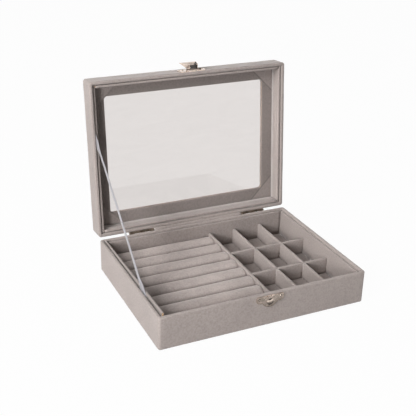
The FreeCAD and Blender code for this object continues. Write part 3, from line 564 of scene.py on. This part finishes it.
def folded(name, start, end, across, heights, way):
    """Velvet over a board's edge from start to end.

    across points through the board, heights are at the two ends, way is 1 for an edge on top and -1 below.
    """
    thick, through, run = across.length, across.normalized(), end - start

    def height(share):
        return heights[0] + share * (heights[1] - heights[0])

    rings = []
    steps = max(2, round(run.length / CELL))
    for part in range(steps + 1):
        share = part / steps
        tall = height(share)
        corners = [(0, 0), (0, tall), (thick, tall), (thick, 0), (thick - VELVET, 0),
                   (thick - VELVET, tall - VELVET), (VELVET, tall - VELVET), (VELVET, 0)]
        outline = rounded(corners, [0, MM, MM, 0, 0, 0, 0, 0], 2 * CELL)
        place = start.lerp(end, share)
        rings.append([place + through * x + Vector((0, 0, way * z)) for x, z in outline])
    assert len({len(points) for points in rings}) == 1, name
    outside = 0 if abs(start.dot(through)) > abs(start.dot(through) + thick) else thick

    def shaded(place):
        """Painted shade on the strip's outer face, in the gap where it lies against the case, from a little below its
        folded edge.
        """
        inward = abs((place - start).dot(through) - outside)
        tall = height((place - start).dot(run) / run.length_squared)
        return 0 if inward > thick / 2 else (tall - way * (place.z - start.z)) / MM - 0.3

    return paint_shade(loft(name, rings), shaded)


def liner_sides(low, high):
    """Where the velvet of a liner board starts and ends, and the way through the board."""
    if high.x - low.x > high.y - low.y:
        return (Vector((low.x, low.y - VELVET, 0)), Vector((high.x, low.y - VELVET, 0)),
                Vector((0, high.y - low.y + 2 * VELVET, 0)))
    return (Vector((low.x - VELVET, low.y, 0)), Vector((low.x - VELVET, high.y, 0)),
            Vector((high.x - low.x + 2 * VELVET, 0, 0)))


def edge_heights(places, low, high, edge):
    """Height of a liner board's edge at its first and last end; edge picks its highest or lowest places."""
    axis = 0 if high.x - low.x > high.y - low.y else 1
    near = 0.1 * MM
    return [edge(place.z for place in places if abs(place[axis] - end[axis]) < near) for end in (low, high)]


SIDES = ("left", "right", "front", "back")
LINER_SWELL = 0.06 * MM


def base_liners():
    strips = []
    for shift, side in enumerate(SIDES):
        node = f"{side}_liner"
        low, high = node_box(node)
        start, end, across = liner_sides(low, high)
        start.z = end.z = low.z
        heights = [top + VELVET - low.z for top in edge_heights(node_points(node), low, high, max)]
        strip = folded(node + "_velvet", start, end, across, heights, 1)
        strips.append(uneven(strip, LINER_SWELL, 120, shift))
    return joined("tray_liner_velvet", strips)


def lid_liners():
    strips = []
    for shift, side in enumerate(SIDES, 9):
        node = f"lid_{side}_liner"
        low, high = lid_box(node)
        start, end, across = liner_sides(low, high)
        start.z = end.z = high.z
        rims = edge_heights([CLOSED @ place for place in node_points(node)], low, high, min)
        heights = [high.z - rim + VELVET for rim in rims]
        strip = folded(node + "_velvet", start, end, across, heights, -1)
        strips.append(uneven(strip, LINER_SWELL, 120, shift))
    return opened(joined("lid_liner_strips", strips))


piece(base_liners(), liner_velvet, "base", "velvet", "liner_velvet")
piece(lid_liners(), velvet, "lid", "velvet", "lid_liner_velvet")


# Lining around the window, with its corner patches

def lining():
    inset = HALF_X - lining_high.x
    corners = [(inset, lining_high.z), (inset, lining_low.z), (RAIL, lining_low.z), (RAIL, lining_high.z)]
    return opened(turned("window_lining_velvet", corners, [0, 0, 0.5 * MM, 0]))


PATCH_SHADE = 0.8 * MM  # width of the painted shade along a patch's long edge
RIGHT_SHADE, LEFT_SHADE = 1, 0.35  # how dark that painted shade is on the right and on the left patches


def patches():
    """Triangles over the corners of the lining, up to the window's round corners."""
    low, high = lid_box("corner_patches")
    window_x, window_y = HALF_X - RAIL, HALF_Y - RAIL
    diagonal = math.sqrt(2)
    leg = high.x + high.y - window_x - window_y + (2 - diagonal) * WINDOW_ROUND - diagonal * PATCH_MARGIN
    made = []
    for way_x, way_y in ((1, 1), (-1, 1), (-1, -1), (1, -1)):
        corner = Vector((way_x * high.x, way_y * high.y))
        outline = [corner, corner - Vector((way_x * leg, 0)), corner - Vector((0, way_y * leg))]
        mesh = prism("patch", [(point.x, point.y) for point in outline], low.z, high.z, 0.12 * MM, 2 * MM)
        uneven(mesh, 0.1 * MM, 190, 4 * way_x + way_y)
        edge_shade = RIGHT_SHADE if way_x > 0 else LEFT_SHADE

        # painted shade along the patch's long edge, where it meets the lining
        def shaded(place):
            edge = (leg - abs(corner.x - place.x) - abs(corner.y - place.y)) / diagonal
            return edge_shade * (1 - edge / PATCH_SHADE)

        made.append(paint_shade(mesh, shaded))
    return opened(joined("corner_patch_velvet", made))


piece(lining(), lining_velvet, "lid", "velvet_card", "window_lining")
piece(patches(), patch_velvet, "lid", "velvet", "corner_patches")


# Tray: floor, dividers, ring rolls

floor_mesh = slab("tray_floor_velvet", *node_box("tray_floor"), 0.25 * MM, 2 * CELL)
piece(floor_mesh, card_velvet, "base", "velvet_card", "tray_floor")


def halved(mesh, notches):
    """Cuts box-shaped notches out of a divider."""
    host = bpy.data.objects.new("host", mesh)
    bpy.context.scene.collection.objects.link(host)
    tools = []
    for low, high in notches:
        shape = bmesh.new()
        block = Matrix.Translation((low + high) / 2) @ Matrix.Diagonal((*(high - low), 1))
        bmesh.ops.create_cube(shape, size=1, matrix=block)
        tool = bpy.data.objects.new("tool", finished("tool", shape))
        bpy.context.scene.collection.objects.link(tool)
        change = host.modifiers.new("notch", "BOOLEAN")
        change.operation = "DIFFERENCE"
        change.solver = "EXACT"
        change.object = tool
        tools.append(tool)
    graph = bpy.context.evaluated_depsgraph_get()
    cut = bpy.data.meshes.new_from_object(host.evaluated_get(graph))
    for obj in (host, *tools):
        bpy.data.objects.remove(obj)
    cut.name = mesh.name + "_halved"
    return cut


def dividers():
    """The dividers; long ones are notched from above and cross ones from below."""
    boxes = {node: node_box(node) for node in frame["nodes"] if "divider" in node}
    lap, beyond = 0.1 * MM, MM
    middle = (boxes["main_divider"][0].z + boxes["main_divider"][1].z) / 2
    longs = ["long_divider_1", "long_divider_2"]
    crosses = ["cross_divider_1", "cross_divider_2"]
    for node, (low, high) in boxes.items():
        mesh = slab(node + "_velvet", low, high, 0.95 * MM)
        uneven(mesh, 0.05 * MM, 60, sum(map(ord, node)) * 0.37)
        # painted shade at the divider's foot, where it meets the floor
        paint_shade(mesh, lambda place: 1 - (place.z - low.z) / FOOT_SHADE)
        notches = []
        if node in longs:
            for other in crosses:
                first, last = boxes[other]
                notches.append((Vector((low.x - beyond, first.y - lap, middle)),
                                Vector((high.x + beyond, last.y + lap, high.z + beyond))))
        if node in crosses:
            for other in longs:
                first, last = boxes[other]
                notches.append((Vector((first.x - lap, low.y - beyond, low.z - beyond)),
                                Vector((last.x + lap, high.y + beyond, middle + lap))))
        if notches:
            mesh = halved(mesh, notches)
        piece(mesh, card_velvet, "base", "velvet_card", node)


dividers()

ROLL_COUNT = 8
ROLL_SHOULDER = 9.2 * MM  # height at which the sides turn into the crown
ROLL_TALL = 15.6 * MM
ROLL_SHADE_TOP = 13.8 * MM  # below this height a roll's sides get painted shade, for the valleys between two rolls
# the painted valley shade grows over this height, up to this strength
VALLEY_SHADE_FADE = 4 * MM
VALLEY_SHADE = 0.48
ROLL_PARTS = 58
CROWN_PARTS = 24
ROLL_END = 4.5 * MM
# how a roll draws in towards each end: distance from the end, width, height
ROLL_ENDS = ((0, 0.50, 0.45), (0, 0.945, 0.94), (0.25 * MM, 0.975, 0.972),
             (0.8 * MM, 0.99, 0.99), (2.4 * MM, 0.997, 0.997), (ROLL_END, 1, 1))
# creases where rings were pressed in: roll, place along it, side, depth
CREASES = ((8, -39 * MM, -1, 0.9 * MM), (7, -41 * MM, 1, 0.8 * MM), (2, -42 * MM, 1, 0.8 * MM),
           (2, -52 * MM, -1, 0.6 * MM), (5, -8 * MM, 1, 0.5 * MM), (4, -63 * MM, -1, 0.6 * MM))


def roll_section(wide, tall):
    """The outline of a roll: its foot, one side, its crown and the other side, as pairs across and up."""
    shoulder = ROLL_SHOULDER * tall / ROLL_TALL
    side = [(wide * (0.955 + 0.045 * share ** 0.6), shoulder * share) for share in (0.12, 0.35, 0.6, 0.85)]
    points = [(wide * 0.93 * share, 0) for share in (-1, -0.66, -0.33, 0, 0.33, 0.66, 1)] + side
    for part in range(CROWN_PARTS + 1):
        angle = math.pi * part / CROWN_PARTS
        points.append((wide * math.cos(angle), shoulder + (tall - shoulder) * math.sin(angle)))
    return points + [(-across, up) for across, up in reversed(side)]


def dent_at(number, half, x, across):
    """How deep the creases of a roll are at a place on its crown, with the fold that each pushes up beside it."""
    dent = 0
    for owner, place, side, depth in CREASES:
        if owner == number:
            lean = math.exp(-((across - side * 0.45 * half) / (0.4 * half)) ** 2)
            dent += depth * lean * math.exp(-((x - place) / (1.1 * MM)) ** 2)
            dent -= 0.35 * depth * lean * math.exp(-((x - place - 2.6 * MM) / (1.4 * MM)) ** 2)
    return dent


def roll(number):
    low, high = node_box(f"ring_roll_{number}")
    middle = (low.y + high.y) / 2
    half = (high.y - low.y) / 2
    stations = [(low.x + inward, wide, tall) for inward, wide, tall in ROLL_ENDS]
    start, end = low.x + ROLL_END, high.x - ROLL_END
    stations += [(start + (end - start) * part / ROLL_PARTS, 1, 1) for part in range(1, ROLL_PARTS)]
    stations += [(high.x - inward, wide, tall) for inward, wide, tall in reversed(ROLL_ENDS)]
    rings = []
    for x, wide, tall in stations:
        lift = (0.45 * (1 - tall)) * ROLL_TALL if tall < 0.6 else 0
        sway = 0.22 * MM * noise.noise(Vector((x * 22, number * 3.7, 0)))
        swell = 1 + 0.018 * noise.noise(Vector((x * 35, number * 5.1, 2)))
        line = []
        for across, up in roll_section(half * wide * 0.99, ROLL_TALL * tall * swell):
            dent = dent_at(number, half, x, across) if up > 0.55 * ROLL_TALL else 0
            share = up / ROLL_TALL
            line.append(Vector((x, middle + across + sway * share, low.z + lift + up - dent)))
        rings.append(line)
    mesh = loft(f"ring_roll_velvet_{number}", rings)
    # painted shade low on the roll's sides, in the valleys between rolls
    paint_shade(mesh, lambda place: min(VALLEY_SHADE, (ROLL_SHADE_TOP - place.z + low.z) / VALLEY_SHADE_FADE))

    def crown(place):
        return min(1, max(0, (place.z - low.z) / ROLL_TALL))

    uneven(mesh, 0.22 * MM, 75, number * 2.3, crown)
    return uneven(mesh, 0.08 * MM, 300, number * 1.1, crown)


for number in range(1, ROLL_COUNT + 1):
    made = piece(roll(number), padded_velvet, "base", "padded_velvet", f"ring_roll_{number}")


# Stay ribbon and the cloth strip between the hinges

RIBBON_WIDTH = 10 * MM
RIBBON_FREE = (0.085, 0.925)  # shares of the length between which it twists
RIBBON_TURN = 0.05  # share of the length over which the twist starts and ends
CLOTH_REACH = 0.3 * MM  # how much nearer the cloth comes to each hinge than in the CAD
CLOTH_BEND = 1.6 * MM  # half the width that bends


def eased(share):
    return share * share * (3 - 2 * share)


def stay_ribbon():
    """A satin ribbon, flat in its slots, that twists a little on its way up to the lid."""
    corners = sorted(node_points("stay_ribbon"), key=lambda place: place.y + place.z)
    half = len(corners) // 2
    low_end, high_end = (sum(part, Vector()) / half for part in (corners[:half], corners[half:]))
    length = (high_end - low_end).length
    run = (high_end - low_end) / length
    wide = Vector((0, -run.z, run.y))
    rows, columns = 90, 8
    grid = []
    for row in range(rows + 1):
        share = row / rows
        free = min(1, max(0, min(share - RIBBON_FREE[0], RIBBON_FREE[1] - share) / RIBBON_TURN))
        twist = math.radians(8 + 3.5 * share) * eased(free)
        width = math.cos(twist) * wide - math.sin(twist) * Vector((1, 0, 0))
        bulge = width.cross(run)
        line = []
        for column in range(columns + 1):
            across = column / columns - 0.5
            cup = 0.5 * MM * math.sin(math.pi * share) * (1 / 3 - 4 * across ** 2)
            ripple = cup + 0.12 * MM * noise.noise(Vector((row * 0.11, across, 4)))
            line.append(low_end + run * length * share + width * RIBBON_WIDTH * across + bulge * ripple)
        grid.append(line)
    mesh = sheet("stay_ribbon_satin", grid, 0.25 * MM)
    made = piece(mesh, satin, None, "satin_ribbon", "stay_ribbon")
    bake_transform(made)


def hinge_cloth():
    """The strip as on the shut case, bent with the lid about the hinges' line."""
    low, high = node_box("hinge_cloth")
    low.x -= CLOTH_REACH
    high.x += CLOTH_REACH
    wall = HALF_Y + 0.08 * MM
    leg = HINGE.z - low.z
    rows, columns = 40, 46
    grid = []
    for row in range(rows + 1):
        z = HINGE.z - leg + 2 * leg * row / rows
        share = min(1, max(0, (z - HINGE.z + CLOTH_BEND) / (2 * CLOTH_BEND)))
        turn = Matrix.Rotation(-LID_OPEN * eased(share), 4, "X")
        line = []
        for column in range(columns + 1):
            x = low.x + (high.x - low.x) * column / columns
            ripple = 0.05 * MM * noise.noise(Vector((x * 90, z * 60, 1)))
            place = Vector((x, wall + 0.05 * MM + ripple, z))
            line.append(HINGE + turn @ (place - HINGE))
        grid.append(line)
    mesh = sheet("hinge_cloth_velvet", grid, -0.3 * MM)
    made = piece(mesh, velvet, None, "velvet", "hinge_cloth")
    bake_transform(made)


stay_ribbon()
hinge_cloth()


# Boards, metal and glass keep their CAD shapes

FINISHES = {"velvet": velvet, "padded_velvet": padded_velvet, "velvet_card": card_velvet, "fibreboard": fibreboard,
            "felt": felt, "satin_ribbon": satin, "clear_glass": glass, "clasp_metal": gold, "hinge_brass": brass}
SLOTS = {part["node"]: part["material_slot"] for part in frame["record"]["subparts"]}
METAL_EDGE = 0.12 * MM
OUTLOOKS = 96  # directions in which a corner looks out
INWARD = 0.15  # how far it is moved towards the middle of its face


def outlooks():
    """Directions spread evenly over the half sphere above a level face."""
    golden_angle = math.pi * (3 - math.sqrt(5))
    ways = []
    for number in range(OUTLOOKS):
        rise = (number + 0.5) / OUTLOOKS
        flat = math.sqrt(1 - rise * rise)
        angle = golden_angle * number
        ways.append(Vector((flat * math.cos(angle), flat * math.sin(angle), rise)))
    return ways


def mark_hollow(mesh):
    """Marks how deep each face's corners lie in a hollow: the share of their outlook that the piece itself closes.
    The clasp metal paints shade from this.
    """
    points = [vertex.co for vertex in mesh.vertices]
    tree = BVHTree.FromPolygons(points, [face.vertices for face in mesh.polygons])
    marks = mesh.attributes.new("hollow", "FLOAT", "CORNER")
    ways = outlooks()
    for face in mesh.polygons:
        turn = face.normal.to_track_quat("Z", "Y")
        for corner in face.loop_indices:
            place = points[mesh.loops[corner].vertex_index].lerp(face.center, INWARD) + 0.01 * MM * face.normal
            closed = sum(tree.ray_cast(place, turn @ way)[0] is not None for way in ways)
            marks.data[corner].value = closed / OUTLOOKS


# the latch flap's hollows get painted shade
mark_hollow(frame["nodes"]["latch_flap"].data)
for name, obj in frame["nodes"].items():
    finish = FINISHES[SLOTS[name]]
    obj.data.materials.clear()
    obj.data.materials.append(finish)
    if finish in (gold, brass):
        soften = obj.modifiers.new("soft_edges", "BEVEL")
        soften.width = METAL_EDGE
        soften.segments = 2
        soften.limit_method = "ANGLE"
        soften.angle_limit = math.radians(40)
        soften.harden_normals = True
frame["nodes"]["glass_pane"].visible_shadow = False


# Floor, lights and surroundings

def rays(tree, *kinds):
    """1 for rays of these kinds, else 0."""
    path = tree.nodes.new("ShaderNodeLightPath")
    found = path.outputs[kinds[0]]
    for kind in kinds[1:]:
        either = tree.nodes.new("ShaderNodeMath")
        either.operation = "MAXIMUM"
        tree.links.new(found, either.inputs[0])
        tree.links.new(path.outputs[kind], either.inputs[1])
        found = either.outputs[0]
    return found


def mixed(tree, share, first, second):
    node = tree.nodes.new("ShaderNodeMixShader")
    tree.links.new(share, node.inputs["Fac"])
    tree.links.new(first, node.inputs[1])
    tree.links.new(second, node.inputs[2])
    return node.outputs[0]


FLOOR_SIZE = 6
FLOOR_GREY = 0.6  # what the floor throws back as light
FLOOR_GLOW = 0.97  # how much of its white hides its shadow
# the floor in reflections, with a painted shadow of the case near its foot: distance from the case's middle in
# metres, and tone
REFLECTED_FLOOR = [(0.09, grey(0.1)), (0.12, grey(0.5)), (0.16, grey(1.0))]
# surroundings: the way to their bright side, and tones by how far a direction agrees with it
FILL = ((0.7, 0.7, 0.15), [(0.0, grey(0.04)), (0.4, grey(0.3)), (1.0, grey(1.0))])
REFLECTED_ROOM = ((-0.35, 0.9, 0.25), [(0.0, grey(0.04)), (0.3, grey(0.35)), (0.6, grey(1.0))])
# lamps: name, place in metres, size, power
LAMPS = (("key", (-1.33, -0.53, 1.0), 0.85, 24.8),
         ("side", (-1.2, -1.15, 0.45), 0.4, 13.6),
         ("top", (-0.1, -0.3, 1.8), 0.9, 2.8))
LAMP_TARGET = Vector((0, 0, 0.06))


def white_stage():
    """A floor that looks white and keeps a faint shadow; in reflections a painted shadow makes it darker at the
    case's foot.
    """
    shape = bmesh.new()
    bmesh.ops.create_grid(shape, x_segments=1, y_segments=1, size=FLOOR_SIZE)
    floor = bpy.data.objects.new("floor", finished("floor", shape))
    bpy.context.scene.collection.objects.link(floor)
    material = bpy.data.materials.new("pale_floor")
    material.use_nodes = True
    tree = material.node_tree
    tree.nodes.clear()
    output = tree.nodes.new("ShaderNodeOutputMaterial")
    diffuse = tree.nodes.new("ShaderNodeBsdfDiffuse")
    diffuse.inputs["Color"].default_value = (*grey(FLOOR_GREY), 1)
    glow = tree.nodes.new("ShaderNodeEmission")
    glow.inputs["Strength"].default_value = 1.0
    share = tree.nodes.new("ShaderNodeMath")
    share.operation = "MULTIPLY"
    share.inputs[1].default_value = FLOOR_GLOW
    tree.links.new(rays(tree, "Is Camera Ray", "Is Transmission Ray"), share.inputs[0])
    far = tree.nodes.new("ShaderNodeVectorMath")
    far.operation = "LENGTH"
    tree.links.new(tree.nodes.new("ShaderNodeNewGeometry").outputs["Position"], far.inputs[0])
    dim = tree.nodes.new("ShaderNodeEmission")
    tree.links.new(ramp(tree, far.outputs["Value"], REFLECTED_FLOOR), dim.inputs["Color"])
    lit = mixed(tree, rays(tree, "Is Glossy Ray"), diffuse.outputs[0], dim.outputs[0])
    tree.links.new(mixed(tree, share.outputs[0], lit, glow.outputs[0]), output.inputs["Surface"])
    floor.data.materials.append(material)


def white_world():
    """A white backdrop, a soft fill from the back right, and for gloss a room that is dark behind the camera."""
    world = bpy.data.worlds.new("studio")
    bpy.context.scene.world = world
    world.use_nodes = True
    tree = world.node_tree
    tree.nodes.clear()
    output = tree.nodes.new("ShaderNodeOutputWorld")
    direction = tree.nodes.new("ShaderNodeTexCoord").outputs["Generated"]

    def toward(way, stops):
        """Surroundings whose tone depends on how far they lie in one direction."""
        along = tree.nodes.new("ShaderNodeVectorMath")
        along.operation = "DOT_PRODUCT"
        along.inputs[1].default_value = Vector(way).normalized()
        tree.links.new(direction, along.inputs[0])
        node = tree.nodes.new("ShaderNodeBackground")
        tree.links.new(ramp(tree, along.outputs["Value"], stops), node.inputs["Color"])
        return node.outputs[0]

    white = tree.nodes.new("ShaderNodeBackground")
    white.inputs["Color"].default_value = (1, 1, 1, 1)
    lit = mixed(tree, rays(tree, "Is Glossy Ray"), toward(*FILL), toward(*REFLECTED_ROOM))
    seen = mixed(tree, rays(tree, "Is Camera Ray", "Is Transmission Ray"), lit, white.outputs[0])
    tree.links.new(seen, output.inputs["Surface"])


def soft_light(name, place, size, power):
    data = bpy.data.lights.new(name, "AREA")
    data.shape = "DISK"
    data.size = size
    data.energy = power
    light = bpy.data.objects.new(name, data)
    light.location = place
    light.rotation_euler = (LAMP_TARGET - Vector(place)).to_track_quat("-Z", "Y").to_euler()
    bpy.context.scene.collection.objects.link(light)


white_stage()
white_world()
for lamp in LAMPS:
    soft_light(*lamp)

bpy.context.scene.view_settings.view_transform = "Standard"
